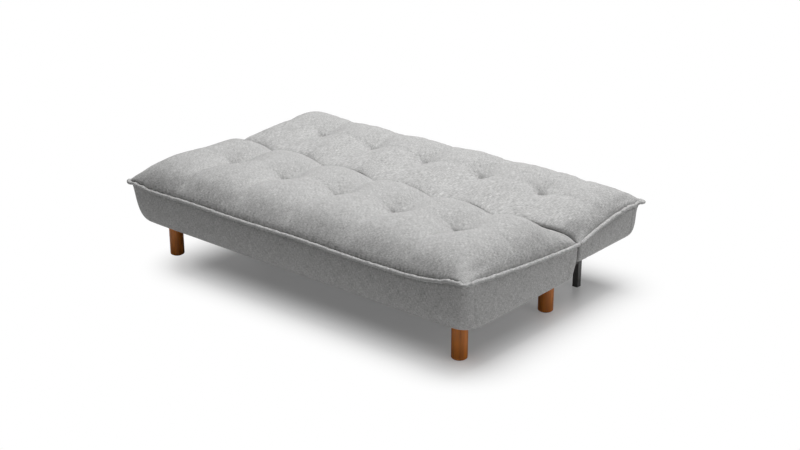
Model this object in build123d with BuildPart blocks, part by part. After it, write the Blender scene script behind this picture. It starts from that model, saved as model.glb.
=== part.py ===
from build123d import *
import os
from math import atan, cos, degrees, radians, sin, sqrt

# A click-clack futon, laid flat as a bed, in millimetres
# X runs across the bed, the front faces -Y, Z is up, and the origin is on the floor under the middle
# The seat stands on four wooden legs, and the back folds up from it on two ratchet hinges

# Overall sizes
BED_WIDTH = 1850.0  # over the piping
SEAT_DEPTH = 740.0  # front piping to the fold line
BACK_DEPTH = 455.0  # fold line to the rear piping
SEAT_CROWN = 446.0  # top of the seat cushion above the floor
BACK_CROWN = 460.0  # top of the back cushion above the floor
SEAM_HEIGHT = 356.0  # piping along the front and rear edges
HINGE_HEIGHT = 304.0  # fold axis, and the bottom of the groove between the cushions
SEAT_UNDERSIDE = 162.0  # bottom of the seat's wooden frame
BACK_UNDERSIDE = 222.0  # bottom of the back's wooden frame

# Upholstery
PIPING_RADIUS = 6.0
SEAM_CLEARANCE = 0.6  # room left between sewn pieces
SKIRT_WALL = 14.0  # padded boxing
HEM = 1.5  # boxing turned under the frame
HEM_LAP = 10.0  # how far the hem reaches under the rails
DUST_COVER = 1.5
JOINT_GAP = 14.0  # between seat and back at the fold line
EDGE_CORNER = 34.0  # plan radius at the piping
FOLD_CORNER = 8.0  # plan radius where the boxing turns into the fold
FOLD_INNER_CORNER = 4.5  # the same inside the boxing
DRAW_IN = 10.0  # how far the long edges pull in between their corners
SEAT_SEAM_RUN = 45.0  # level stretch of the seam before it dips along the ends
BACK_SEAM_RUN = 70.0
SEAT_SEAM_BEND = 0.06  # share of the dip taken by its first bend
BACK_SEAM_BEND = 0.28
SEAM_LIFT = 0.5  # lowest point of the seam above the fold axis
SEAT_TUCK = 58.0  # how far the seat's front boxing draws in at the bottom
BACK_TUCK = 42.0  # how far the back's rear boxing draws in at the bottom
END_TUCK = 20.0  # how far the end boxing draws in at the bottom
SKIRT_LEVELS = (0.0, 0.45, 0.75, 0.92)  # shares of the boxing's height that give its bulge
SEAT_BOTTOM_CORNER = 100.0  # plan radius at the bottom of the seat boxing
BACK_BOTTOM_CORNER = 62.0
END_SHOULDER = 135.0  # width of the rounded shoulder at the ends of a cushion
SEAT_SHOULDER = 0.28  # rounded shoulder at the outer edge, as a share of the depth
BACK_SHOULDER = 0.40
FOLD_SLOPE = 0.41  # slope down to the fold, as a share of the depth
SHOULDER_CORNER = 150.0  # plan radius at the top of a cushion
GROOVE_CORNER = 50.0  # plan radius at the top of the slope to the fold
CUSHION_LEVELS = (0.0, 0.35, 0.56, 0.75, 0.89, 0.97, 1.0)  # shares of the height that give its crown
CORNER_LIMIT = 0.6  # largest plan radius, as a share of the depth that is left at a level
FOLD_CORNER_LIMIT = 0.3
FOAM_MARGIN = 6.0  # foam core inside the rails' outer faces

# Tufts and the channels that run fore and aft through them
TUFT_COUNT = 5
TUFT_INSET = 307.0  # outermost tufts to the ends of the bed
SEAT_TUFT_SETBACK = 362.0  # from the front piping
BACK_TUFT_SETBACK = 169.0  # from the fold line
TUFT_RADIUS = 112.0
TUFT_DEPTH = 54.0
TUFT_EYE = 2.0  # bottom of the pinch
TUFT_SWELL = 0.3  # share of the radius and depth where a pit's side swells most
CHANNEL_RADIUS = 300.0
CHANNEL_DEPTH = 18.0

# Wooden frames
SIDE_RAIL = 25.0
CROSS_RAIL = 20.0
SEAT_RAIL_HEIGHT = 100.0
BACK_RAIL_HEIGHT = 50.0
RAIL_SETBACK = 65.0  # outermost piping to the seat's side rails
SEAT_FRONT_SETBACK = 106.0  # front piping to the front rail
BACK_REAR_SETBACK = 76.0  # rear piping to the back's rear rail
FRAME_CLEARANCE = 1.0
LEG_BLOCK_DEPTH = 56.0  # room for the rear leg blocks behind the rear rail
STRETCHER = 25.0
STRETCHER_HEIGHT = 60.0
BLOCK_DEPTH = 90.0
BLOCK_HEIGHT = 40.0
SLAT_THICKNESS = 12.0
SLAT_WIDTH = 62.0
SLAT_COUNT = 12
SLAT_END = 45.0  # first slat to the side rail

# Wooden legs
LEG_RADIUS = 31.0
LEG_INSET = 131.0  # end of the bed to the middle of a leg
FRONT_LEG_SETBACK = 142.0  # behind the front piping
REAR_LEG_SETBACK = 40.0  # ahead of the fold line
LEG_EDGE = 5.0
LEG_BOLT_RADIUS = 5.0
LEG_BOLT_DEPTH = 40.0
GLIDE_RADIUS = 22.0
GLIDE_THICKNESS = 3.0

# Steel rear supports
ARM_WIDTH = 20.0
ARM_HEIGHT = 50.0
POST_WIDTH = 25.0
TUBE_WALL = 2.0
SUPPORT_INSET = 173.0  # end of the bed to the middle of an arm
POST_SETBACK = 250.0  # fold line to the middle of the post behind it
ARM_REACH = 350.0  # fold line to the front end of the arm
ARM_BOLT_SETBACKS = (310.0, 120.0)  # ahead of the fold line
PLUG_PLATE = 3.0
PLUG_DEPTH = 14.0
PLUG_CLEARANCE = 0.2

# Ratchet hinges
PLATE = 5.0
PLATE_GAP = 1.0  # shoulder between the two plates
EYE_RADIUS = 16.0
PIN_RADIUS = 6.0
PIN_HEAD_RADIUS = 10.0
PIN_HEAD = 4.0
RUNNING_FIT = 0.06
BOLT_RADIUS = 4.0
BOLT_HEAD_RADIUS = 8.5
BOLT_HEAD = 4.0
NUT_RADIUS = 7.5
NUT = 6.5
FLANGE_RADIUS = 20.0  # plate round each bolt
SEAT_BOLT_SETBACKS = (220.0, 120.0)  # from the fold line
BACK_BOLT_SETBACKS = (110.0, 210.0)
RATCHET_RADIUS = 40.0
NOTCH_RADIUS = 4.2
NOTCH_CENTRE = 38.5
RATCHET_MARGIN = 8.0  # degrees of sector past the last notches
PAWL_DIRECTION = 235.0  # degrees from +Y towards +Z, from the pivot to the pawl's nose
LOCK_ANGLES = (22.0, 46.0, 70.0)  # back angles at which the pawl can drop in
PAWL_LENGTH = 45.0
PAWL_LIFT = 10.0  # degrees that the pawl stands clear of the teeth
PAWL_PIN_RADIUS = 4.0
PAWL_EYE_RADIUS = 9.0
PAWL_COLLAR_RADIUS = 8.0
PAWL_PIN_HEAD = 2.0
PAWL_KNUCKLE = 51.0  # distance of the pawl's knuckle from the pivot
PAWL_KNUCKLE_RADIUS = 6.0
PAWL_NOSE_RADIUS = 3.5
SPRING_THICKNESS = 1.0
SPRING_WIDTH = 4.0
SPRING_FOOT_RADIUS = 5.0
SPRING_FOOT = (-78.0, -34.0)  # from the pivot, along Y and Z
SPRING_CLEARANCE = 0.3
POCKET_DEPTH = 46.0  # room for the ratchet below the fold axis
POCKET_SIDE = 4.0  # room beside and above the hinge in the upholstery

# Places that follow from the sizes above
FRONT_Y = -(SEAT_DEPTH + BACK_DEPTH) / 2
REAR_Y = -FRONT_Y
HINGE_Y = FRONT_Y + SEAT_DEPTH
EDGE = 2 * PIPING_RADIUS + SEAM_CLEARANCE  # outermost piping to the sewn edge
HALF_WIDTH = BED_WIDTH / 2 - EDGE
SEAT_OUTER = FRONT_Y + EDGE
SEAT_FOLD = HINGE_Y - JOINT_GAP / 2
BACK_OUTER = REAR_Y - EDGE
BACK_FOLD = HINGE_Y + JOINT_GAP / 2
SEAM_LOW = HINGE_HEIGHT + SEAM_LIFT
SEAM_DIPS = {1: (SEAT_SEAM_RUN, SEAT_SEAM_BEND), -1: (BACK_SEAM_RUN, BACK_SEAM_BEND)}
SEAT_RAIL_X = BED_WIDTH / 2 - RAIL_SETBACK  # outer face of the seat's side rails
BACK_PLATE_X = SEAT_RAIL_X + PLATE + PLATE_GAP  # also the outer face of the back's side rails
PLATE_OUT = BACK_PLATE_X + PLATE
SEAT_FRAME = (FRONT_Y + SEAT_FRONT_SETBACK, SEAT_FOLD - SKIRT_WALL - FRAME_CLEARANCE)
BACK_FRAME = (BACK_FOLD + SKIRT_WALL + FRAME_CLEARANCE, REAR_Y - BACK_REAR_SETBACK)
SEAT_RAIL_TOP = SEAT_UNDERSIDE + SEAT_RAIL_HEIGHT
BACK_RAIL_TOP = BACK_UNDERSIDE + BACK_RAIL_HEIGHT
REAR_RAIL_Y = SEAT_FRAME[1] - LEG_BLOCK_DEPTH - CROSS_RAIL
LEG_TOP = SEAT_UNDERSIDE - HEM - DUST_COVER
LEG_X = BED_WIDTH / 2 - LEG_INSET
SUPPORT_X = BED_WIDTH / 2 - SUPPORT_INSET
LEG_YS = (FRONT_Y + FRONT_LEG_SETBACK, HINGE_Y - REAR_LEG_SETBACK)
LEG_PLACES = [(side * LEG_X, y) for side in (-1, 1) for y in LEG_YS]
ARM_BOLT_PLACES = [(side * SUPPORT_X, HINGE_Y - y) for side in (-1, 1) for y in ARM_BOLT_SETBACKS]
POST_Y = HINGE_Y + POST_SETBACK
SEAT_BOLT_Z = SEAT_UNDERSIDE + SEAT_RAIL_HEIGHT / 2
BACK_BOLT_Z = BACK_UNDERSIDE + BACK_RAIL_HEIGHT / 2
SEAT_BOLTS = [(HINGE_Y - y, SEAT_BOLT_Z) for y in SEAT_BOLT_SETBACKS]
BACK_BOLTS = [(HINGE_Y + y, BACK_BOLT_Z) for y in BACK_BOLT_SETBACKS]
PIVOT = (HINGE_Y, HINGE_HEIGHT)
TUFT_SPACING = (BED_WIDTH - 2 * TUFT_INSET) / (TUFT_COUNT - 1)
TUFT_XS = [(i - (TUFT_COUNT - 1) / 2) * TUFT_SPACING for i in range(TUFT_COUNT)]
SIDES = {"left": -1, "right": 1}

os.makedirs("parts", exist_ok=True)


def save(piece, name):
    """Label a finished piece and write it under its own name."""
    piece.label = name
    export_step(piece, f"parts/{name}.step")


def board(x, y, z):
    """A sawn board between two limits along each axis."""
    with BuildPart() as plank:
        with BuildSketch(Plane.XY.offset(z[0])):
            with Locations(((x[0] + x[1]) / 2, (y[0] + y[1]) / 2)):
                Rectangle(x[1] - x[0], y[1] - y[0])
        extrude(amount=z[1] - z[0])
    return plank.part


def side_plane(side, inner, thickness):
    """The plane across X from which a plate on one side is drawn outwards from its inner face."""
    return Plane.YZ.offset(inner if side > 0 else -inner - thickness)


def span(side, inner, outer):
    """Low and high X of a piece on one side of the bed."""
    return (inner, outer) if side > 0 else (-outer, -inner)


# Shapes shared by the two upholstered sections


def plan_face(level, half, fold_half, outer_y, fold_y, corner, fold_corner):
    """One level of a section: an outer edge that draws in, two ends and the straight fold."""
    inward = 1 if fold_y > outer_y else -1
    corner = min(corner, CORNER_LIMIT * abs(fold_y - outer_y))
    fold_corner = min(fold_corner, FOLD_CORNER_LIMIT * abs(fold_y - outer_y))
    with BuildSketch(Plane.XY.offset(level)) as plan:
        with BuildLine():
            ThreePointArc((-half, outer_y), (0, outer_y + inward * DRAW_IN), (half, outer_y))
            Polyline((half, outer_y), (fold_half, fold_y), (-fold_half, fold_y), (-half, outer_y))
        make_face()
        fillet(vertices().sort_by(Axis.Y, reverse=inward < 0)[:2], corner)
        fillet(vertices().sort_by(Axis.Y, reverse=inward > 0)[:2], fold_corner)
    return plan.sketch


def seam_points(outer_y, fold_y):
    """Start, middle and end of the seam's dip along an end, as (Y, Z)."""
    inward = 1 if fold_y > outer_y else -1
    run, bend = SEAM_DIPS[inward]
    start = outer_y + inward * run
    middle = start + (fold_y - start) * bend
    middle_z = SEAM_HEIGHT - (SEAM_HEIGHT - SEAM_LOW) * bend
    return (start, SEAM_HEIGHT), (middle, middle_z), (fold_y, SEAM_LOW)


def seam_slope(outer_y, fold_y):
    """Direction of the seam, as (Y, Z), where its first bend hands over to the second."""
    start, _, end = seam_points(outer_y, fold_y)
    angle = 2 * atan((SEAM_HEIGHT - SEAM_LOW) / abs(end[0] - start[0]))
    return (cos(angle) if fold_y > outer_y else -cos(angle), -sin(angle))


def seam_block(outer_y, fold_y, lift, limit):
    """Everything between the seam's height, raised by lift, and a level limit above or below it."""
    inward = 1 if fold_y > outer_y else -1
    start, middle, end = [(y, z + lift) for y, z in seam_points(outer_y, fold_y)]
    far_out = outer_y - inward * SEAT_DEPTH
    far_in = fold_y + inward * SEAT_DEPTH
    with BuildPart() as block:
        with BuildSketch(Plane.YZ):
            with BuildLine():
                TangentArc(start, middle, tangent=(inward, 0))
                TangentArc(middle, end, tangent=seam_slope(outer_y, fold_y))
                Polyline(end, (far_in, end[1]), (far_in, limit))
                Polyline((far_in, limit), (far_out, limit), (far_out, start[1]), start)
            make_face()
        extrude(amount=BED_WIDTH, both=True)
    return block.part


def pocket(side):
    """Room in the upholstery round one hinge."""
    inner = SEAT_RAIL_X - PIN_HEAD - POCKET_SIDE
    width = PLATE_OUT + PIN_HEAD + POCKET_SIDE - inner
    reach = -SPRING_FOOT[0] + 2 * SPRING_FOOT_RADIUS
    depth = (HINGE_Y - reach, HINGE_Y + reach)
    height = (HINGE_HEIGHT - POCKET_DEPTH, HINGE_HEIGHT + EYE_RADIUS + POCKET_SIDE)
    return board(span(side, inner, inner + width), depth, height)


def skirt_shell(outer_y, fold_y, underside, tuck, bottom_corner, frame):
    """The boxing of a section: convex walls that draw in towards a hem turned under the frame."""
    inward = 1 if fold_y > outer_y else -1
    bottom = underside - HEM

    def level_face(level, wall, top=0.0):
        drop = (SEAM_HEIGHT - level) / (SEAM_HEIGHT - bottom)
        share = 1 - sqrt(1 - drop * drop)
        half = HALF_WIDTH - END_TUCK * share - wall
        corner = EDGE_CORNER + (bottom_corner - EDGE_CORNER) * share - wall
        outer = outer_y + inward * (tuck * share + wall)
        fold = fold_y - inward * wall
        fold_corner = FOLD_INNER_CORNER if wall else FOLD_CORNER
        return plan_face(level + top, half, half, outer, fold, corner, fold_corner)

    heights = [SEAM_HEIGHT - (SEAM_HEIGHT - bottom) * share for share in SKIRT_LEVELS]
    outside = [level_face(bottom, 0)] + [level_face(z, 0) for z in reversed(heights)]
    inside = [level_face(underside, SKIRT_WALL)]
    inside += [level_face(z, SKIRT_WALL) for z in heights[2:0:-1]]
    inside += [level_face(SEAM_HEIGHT, SKIRT_WALL, HEM)]
    with BuildPart() as shell:
        loft(sections=outside)
        loft(sections=inside, mode=Mode.SUBTRACT)
        opening_x = SEAT_RAIL_X - HEM_LAP
        opening_y = (frame[0] + HEM_LAP, frame[1] - HEM_LAP)
        opening_z = (bottom - HEM, underside + HEM)
        add(board((-opening_x, opening_x), opening_y, opening_z), mode=Mode.SUBTRACT)
        add(seam_block(outer_y, fold_y, -SEAM_CLEARANCE / 2, BACK_CROWN), mode=Mode.SUBTRACT)
        for side in SIDES.values():
            add(pocket(side), mode=Mode.SUBTRACT)
    return shell.part


def skirt_panels(shell, outer_y, fold_y, prefix, outer_name):
    """Cut the boxing at its corner seams into the outer panel, two ends and the fold panel."""
    inward = 1 if fold_y > outer_y else -1
    outer_cuts = {s: Plane((s * HALF_WIDTH, outer_y, 0), z_dir=(s, inward, 0)) for s in (-1, 1)}
    fold_cuts = {s: Plane((s * HALF_WIDTH, fold_y, 0), z_dir=(s, -inward, 0)) for s in (-1, 1)}
    middle = (0, (outer_y + fold_y) / 2, 0)
    outer_cuts[0] = Plane(middle, z_dir=(0, inward, 0))
    fold_cuts[0] = Plane(middle, z_dir=(0, -inward, 0))
    for name, cuts in ((outer_name, outer_cuts), ("fold", fold_cuts)):
        with BuildPart() as panel:
            add(shell)
            for cut in cuts.values():
                split(bisect_by=cut, keep=Keep.BOTTOM)
        save(panel.part, f"{prefix}_skirt_{name}")
    for name, side in SIDES.items():
        with BuildPart() as panel:
            add(shell)
            split(bisect_by=outer_cuts[side], keep=Keep.TOP)
            split(bisect_by=fold_cuts[side], keep=Keep.TOP)
        save(panel.part, f"{prefix}_skirt_{name}")


def shoulder_share(level, base, crown):
    """How far a quarter-round shoulder has turned in at a level, from 0 at its base to 1 at the crown."""
    rise = (level - base) / (crown - base)
    return 1 - sqrt(1 - rise * rise) if rise > 0 else 0.0


def tuft_cutter(crown):
    """One pinched tuft: a pit whose sides swell up and out to the crown."""
    with BuildPart() as pit:
        with BuildSketch(Plane.XZ):
            with BuildLine():
                foot = (TUFT_EYE, crown - TUFT_DEPTH)
                swell = (TUFT_SWELL * TUFT_RADIUS, crown - TUFT_SWELL * TUFT_DEPTH)
                rim = (TUFT_RADIUS, crown + SEAM_CLEARANCE)
                ThreePointArc(foot, swell, rim)
                Polyline(rim, (TUFT_RADIUS, crown + TUFT_DEPTH), (0, crown + TUFT_DEPTH))
                Polyline((0, crown + TUFT_DEPTH), (0, crown - TUFT_DEPTH), foot)
            make_face()
        revolve(axis=Axis.Z)
    return pit.part


def cushion(outer_y, fold_y, tuft_y, crown, shoulder):
    """A tufted cushion: rounded shoulders, a long slope to the fold, pits and fore-and-aft channels."""
    inward = 1 if fold_y > outer_y else -1
    depth = abs(fold_y - outer_y)

    def level_face(share):
        level = HINGE_HEIGHT + share * (crown - HINGE_HEIGHT)
        edge = shoulder_share(level, SEAM_HEIGHT, crown)
        fold_edge = shoulder_share(level, HINGE_HEIGHT, crown)
        slope = 1 - sqrt(1 - share)
        outer = outer_y + inward * shoulder * depth * edge
        fold = fold_y - inward * FOLD_SLOPE * depth * slope
        corner = EDGE_CORNER + (SHOULDER_CORNER - EDGE_CORNER) * edge
        fold_corner = FOLD_CORNER + (GROOVE_CORNER - FOLD_CORNER) * fold_edge
        half = HALF_WIDTH - END_SHOULDER * edge
        return plan_face(level, half, HALF_WIDTH - END_SHOULDER * fold_edge, outer, fold, corner, fold_corner)

    with BuildPart() as pad:
        loft(sections=[level_face(share) for share in CUSHION_LEVELS])
        add(seam_block(outer_y, fold_y, SEAM_CLEARANCE / 2, 0), mode=Mode.SUBTRACT)
        with Locations(*[(x, tuft_y, 0) for x in TUFT_XS]):
            add(tuft_cutter(crown), mode=Mode.SUBTRACT)
        with BuildSketch(Plane.XZ.offset(-outer_y)):
            with Locations(*[(x, crown - CHANNEL_DEPTH + CHANNEL_RADIUS) for x in TUFT_XS]):
                Circle(CHANNEL_RADIUS)
        extrude(amount=-inward * SEAT_DEPTH, mode=Mode.SUBTRACT)
        for side in SIDES.values():
            add(pocket(side), mode=Mode.SUBTRACT)
    return pad.part


def piping(outer_y, fold_y):
    """The corded edge: level along the outer edge, dipping along both ends to the fold."""
    inward = 1 if fold_y > outer_y else -1
    out = PIPING_RADIUS + SEAM_CLEARANCE
    half = HALF_WIDTH + out
    edge_y = outer_y - inward * out
    plan = plan_face(SEAM_HEIGHT, half, half, edge_y, fold_y, EDGE_CORNER + out, FOLD_CORNER)
    slope_y, slope_z = seam_slope(outer_y, fold_y)
    start, middle, end = seam_points(outer_y, fold_y)
    bends = plan.edges().filter_by(GeomType.CIRCLE).sort_by(Axis.Y, reverse=inward < 0)[:3]
    with BuildPart() as cord:
        with BuildLine() as path:
            add(bends)
            for side in SIDES.values():
                x = side * half
                corner = bends.vertices().sort_by_distance((x, start[0], SEAM_HEIGHT))[0]
                Line(corner.center(), (x, *start))
                TangentArc((x, *start), (x, *middle), tangent=(0, inward, 0))
                TangentArc((x, *middle), (x, *end), tangent=(0, slope_y, slope_z))
        with BuildSketch(Plane((half, *end), z_dir=(0, -inward, 0))):
            Circle(PIPING_RADIUS)
        sweep(path=path.wire())
    return cord.part


def foam_core(outer_y, fold_y, frame, floor):
    """The foam slab between the slats and the cushion, its top cut to the line of the seam."""
    half = SEAT_RAIL_X - FOAM_MARGIN
    with BuildPart() as slab:
        add(board((-half, half), frame, (floor, SEAM_HEIGHT)))
        add(seam_block(outer_y, fold_y, -SEAM_CLEARANCE / 2, BACK_CROWN), mode=Mode.SUBTRACT)
    return slab.part


def slats(frame, floor):
    """A row of slats that lie fore and aft on the cross rails."""
    reach = SEAT_RAIL_X - SIDE_RAIL - SLAT_END
    with BuildPart() as row:
        with BuildSketch(Plane.XY.offset(floor)):
            with Locations((0, (frame[0] + frame[1]) / 2)):
                with GridLocations(2 * reach / (SLAT_COUNT - 1), 0, SLAT_COUNT, 1):
                    Rectangle(SLAT_WIDTH, frame[1] - frame[0])
        extrude(amount=SLAT_THICKNESS)
    return row.part


def side_rail(side, outer_x, frame, floor, top, bolts):
    """A side rail with the bolt holes of its hinge plate."""
    x = span(side, outer_x - SIDE_RAIL, outer_x)
    with BuildPart() as rail:
        add(board(x, frame, (floor, top)))
        with BuildSketch(Plane.YZ.offset(x[0])):
            with Locations(*bolts):
                Circle(BOLT_RADIUS)
        extrude(amount=SIDE_RAIL, mode=Mode.SUBTRACT)
    return rail.part


def dust_cover(frame, top, holes):
    """The cloth tacked under a frame, with the holes that bolts pass through."""
    half = SEAT_RAIL_X - FRAME_CLEARANCE
    depth = (frame[0] + FRAME_CLEARANCE, frame[1] - FRAME_CLEARANCE)
    with BuildPart() as cloth:
        add(board((-half, half), depth, (top - DUST_COVER, top)))
        for radius, places in holes:
            with BuildSketch(Plane.XY.offset(top - DUST_COVER)):
                with Locations(*places):
                    Circle(radius)
            extrude(amount=DUST_COVER, mode=Mode.SUBTRACT)
    return cloth.part


# Seat frame

seat_inner = SEAT_RAIL_X - SIDE_RAIL
seat_height = (SEAT_UNDERSIDE, SEAT_RAIL_TOP)
front_rail_y = (SEAT_FRAME[0], SEAT_FRAME[0] + CROSS_RAIL)
rear_rail_y = (REAR_RAIL_Y, REAR_RAIL_Y + CROSS_RAIL)
save(board((-seat_inner, seat_inner), front_rail_y, seat_height), "seat_front_rail")
save(board((-seat_inner, seat_inner), rear_rail_y, seat_height), "seat_rear_rail")
for name, side in SIDES.items():
    save(side_rail(side, SEAT_RAIL_X, SEAT_FRAME, *seat_height, SEAT_BOLTS), f"seat_side_rail_{name}")

# Stretchers run between the cross rails, the outer two over the steel arms
centre_x = (-STRETCHER / 2, STRETCHER / 2)
stretcher_y = (front_rail_y[1], rear_rail_y[0])
stretcher_z = (SEAT_UNDERSIDE, SEAT_UNDERSIDE + STRETCHER_HEIGHT)
for name, side in SIDES.items():
    stretcher_x = span(side, SUPPORT_X - STRETCHER / 2, SUPPORT_X + STRETCHER / 2)
    with BuildPart() as stretcher:
        add(board(stretcher_x, stretcher_y, stretcher_z))
        with BuildSketch(Plane.XY.offset(SEAT_UNDERSIDE)):
            with Locations(*[place for place in ARM_BOLT_PLACES if place[0] * side > 0]):
                Circle(BOLT_RADIUS)
        extrude(amount=BLOCK_HEIGHT, mode=Mode.SUBTRACT)
    save(stretcher.part, f"seat_stretcher_{name}")
save(board(centre_x, stretcher_y, stretcher_z), "seat_centre_stretcher")

# Leg blocks fill the corners between the stretchers and the side rails
with BuildPart() as leg_blocks:
    block_x = (SUPPORT_X + STRETCHER / 2, seat_inner)
    block_z = (SEAT_UNDERSIDE, SEAT_UNDERSIDE + BLOCK_HEIGHT)
    for side in SIDES.values():
        add(board(span(side, *block_x), (front_rail_y[1], front_rail_y[1] + BLOCK_DEPTH), block_z))
        add(board(span(side, *block_x), (rear_rail_y[1], SEAT_FRAME[1]), block_z))
    with BuildSketch(Plane.XY.offset(SEAT_UNDERSIDE)):
        with Locations(*LEG_PLACES):
            Circle(LEG_BOLT_RADIUS)
    extrude(amount=BLOCK_HEIGHT, mode=Mode.SUBTRACT)
save(leg_blocks.part, "seat_leg_blocks")

save(slats((SEAT_FRAME[0], rear_rail_y[1]), SEAT_RAIL_TOP), "seat_slats")
seat_foam_floor = SEAT_RAIL_TOP + SLAT_THICKNESS
save(foam_core(SEAT_OUTER, SEAT_FOLD, SEAT_FRAME, seat_foam_floor), "seat_foam")
seat_holes = [(LEG_BOLT_RADIUS, LEG_PLACES), (BOLT_RADIUS, ARM_BOLT_PLACES)]
save(dust_cover(SEAT_FRAME, SEAT_UNDERSIDE - HEM, seat_holes), "seat_dust_cover")

# Seat upholstery

seat_shell = skirt_shell(SEAT_OUTER, SEAT_FOLD, SEAT_UNDERSIDE, SEAT_TUCK, SEAT_BOTTOM_CORNER, SEAT_FRAME)
skirt_panels(seat_shell, SEAT_OUTER, SEAT_FOLD, "seat", "front")
seat_tuft_y = FRONT_Y + SEAT_TUFT_SETBACK
save(cushion(SEAT_OUTER, SEAT_FOLD, seat_tuft_y, SEAT_CROWN, SEAT_SHOULDER), "seat_cushion")
save(piping(SEAT_OUTER, SEAT_FOLD), "seat_piping")

# Back frame

back_inner = BACK_PLATE_X - SIDE_RAIL
back_height = (BACK_UNDERSIDE, BACK_RAIL_TOP)
back_front_y = (BACK_FRAME[0], BACK_FRAME[0] + CROSS_RAIL)
back_rear_y = (BACK_FRAME[1] - CROSS_RAIL, BACK_FRAME[1])
save(board((-back_inner, back_inner), back_front_y, back_height), "back_front_rail")
save(board((-back_inner, back_inner), back_rear_y, back_height), "back_rear_rail")
for name, side in SIDES.items():
    save(side_rail(side, BACK_PLATE_X, BACK_FRAME, *back_height, BACK_BOLTS), f"back_side_rail_{name}")
save(board(centre_x, (back_front_y[1], back_rear_y[0]), back_height), "back_centre_brace")
save(slats(BACK_FRAME, BACK_RAIL_TOP), "back_slats")
save(foam_core(BACK_OUTER, BACK_FOLD, BACK_FRAME, BACK_RAIL_TOP + SLAT_THICKNESS), "back_foam")
save(dust_cover(BACK_FRAME, BACK_UNDERSIDE - HEM, []), "back_dust_cover")

# Back upholstery

back_shell = skirt_shell(BACK_OUTER, BACK_FOLD, BACK_UNDERSIDE, BACK_TUCK, BACK_BOTTOM_CORNER, BACK_FRAME)
skirt_panels(back_shell, BACK_OUTER, BACK_FOLD, "back", "rear")
back_tuft_y = HINGE_Y + BACK_TUFT_SETBACK
save(cushion(BACK_OUTER, BACK_FOLD, back_tuft_y, BACK_CROWN, BACK_SHOULDER), "back_cushion")
save(piping(BACK_OUTER, BACK_FOLD), "back_piping")

# Wooden legs, their bolts and glides

for (x, y), name in zip(LEG_PLACES, ("front_left", "rear_left", "front_right", "rear_right")):
    with BuildPart() as leg:
        with BuildSketch(Plane.XY.offset(GLIDE_THICKNESS)):
            with Locations((x, y)):
                Circle(LEG_RADIUS)
        extrude(amount=LEG_TOP - GLIDE_THICKNESS)
        fillet(leg.faces().sort_by(Axis.Z)[0].edges(), LEG_EDGE)
        with BuildSketch(Plane.XY.offset(LEG_TOP)):
            with Locations((x, y)):
                Circle(LEG_BOLT_RADIUS)
        extrude(amount=-LEG_BOLT_DEPTH, mode=Mode.SUBTRACT)
    save(leg.part, f"leg_{name}")

with BuildPart() as leg_bolts:
    with BuildSketch(Plane.XY.offset(LEG_TOP - LEG_BOLT_DEPTH)):
        with Locations(*LEG_PLACES):
            Circle(LEG_BOLT_RADIUS)
    extrude(amount=LEG_BOLT_DEPTH + HEM + DUST_COVER + BLOCK_HEIGHT)
save(leg_bolts.part, "leg_bolts")

with BuildPart() as leg_glides:
    with BuildSketch():
        with Locations(*LEG_PLACES):
            Circle(GLIDE_RADIUS)
    extrude(amount=GLIDE_THICKNESS)
save(leg_glides.part, "leg_glides")

# Steel rear supports: an arm bolted under the stretcher, welded to a post behind the seat

arm_z = (LEG_TOP - ARM_HEIGHT, LEG_TOP)
arm_y = (HINGE_Y - ARM_REACH, POST_Y - POST_WIDTH / 2)
post_top = LEG_TOP
for name, side in SIDES.items():
    with BuildPart() as support:
        with BuildSketch(Plane.XZ.offset(-arm_y[0])):
            with Locations((side * SUPPORT_X, (arm_z[0] + arm_z[1]) / 2)):
                Rectangle(ARM_WIDTH, ARM_HEIGHT)
                Rectangle(ARM_WIDTH - 2 * TUBE_WALL, ARM_HEIGHT - 2 * TUBE_WALL, mode=Mode.SUBTRACT)
        extrude(amount=arm_y[0] - arm_y[1])
        with BuildSketch(Plane.XY.offset(PLUG_PLATE)):
            with Locations((side * SUPPORT_X, POST_Y)):
                Rectangle(POST_WIDTH, POST_WIDTH)
                Rectangle(POST_WIDTH - 2 * TUBE_WALL, POST_WIDTH - 2 * TUBE_WALL, mode=Mode.SUBTRACT)
        extrude(amount=post_top - PLUG_PLATE)
        with BuildSketch(Plane.XY.offset(arm_z[0])):
            with Locations(*[place for place in ARM_BOLT_PLACES if place[0] * side > 0]):
                Circle(BOLT_RADIUS)
        extrude(amount=ARM_HEIGHT, mode=Mode.SUBTRACT)
    save(support.part, f"rear_support_{name}")

# Plugs close the foot and the top of each post and the front end of each arm
post_bore = POST_WIDTH - 2 * TUBE_WALL - 2 * PLUG_CLEARANCE
with BuildPart() as tube_plugs:
    for side in SIDES.values():
        centre = (side * SUPPORT_X, POST_Y)
        for plate_z, stem_z in ((0, PLUG_PLATE), (post_top, post_top - PLUG_DEPTH)):
            with BuildSketch(Plane.XY.offset(plate_z)):
                with Locations(centre):
                    Rectangle(POST_WIDTH, POST_WIDTH)
            extrude(amount=PLUG_PLATE)
            with BuildSketch(Plane.XY.offset(stem_z)):
                with Locations(centre):
                    Rectangle(post_bore, post_bore)
            extrude(amount=PLUG_DEPTH)
        with BuildSketch(Plane.XZ.offset(-arm_y[0])):
            with Locations((side * SUPPORT_X, (arm_z[0] + arm_z[1]) / 2)):
                Rectangle(ARM_WIDTH, ARM_HEIGHT)
        extrude(amount=PLUG_PLATE)
save(tube_plugs.part, "tube_plugs")

with BuildPart() as support_bolts:
    with BuildSketch(Plane.XY.offset(arm_z[0] - BOLT_HEAD)):
        with Locations(*ARM_BOLT_PLACES):
            Circle(BOLT_HEAD_RADIUS)
    extrude(amount=BOLT_HEAD)
    with BuildSketch(Plane.XY.offset(arm_z[0])):
        with Locations(*ARM_BOLT_PLACES):
            Circle(BOLT_RADIUS)
    extrude(amount=ARM_HEIGHT + HEM + DUST_COVER + BLOCK_HEIGHT)
save(support_bolts.part, "support_bolts")

# Ratchet hinges


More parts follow.
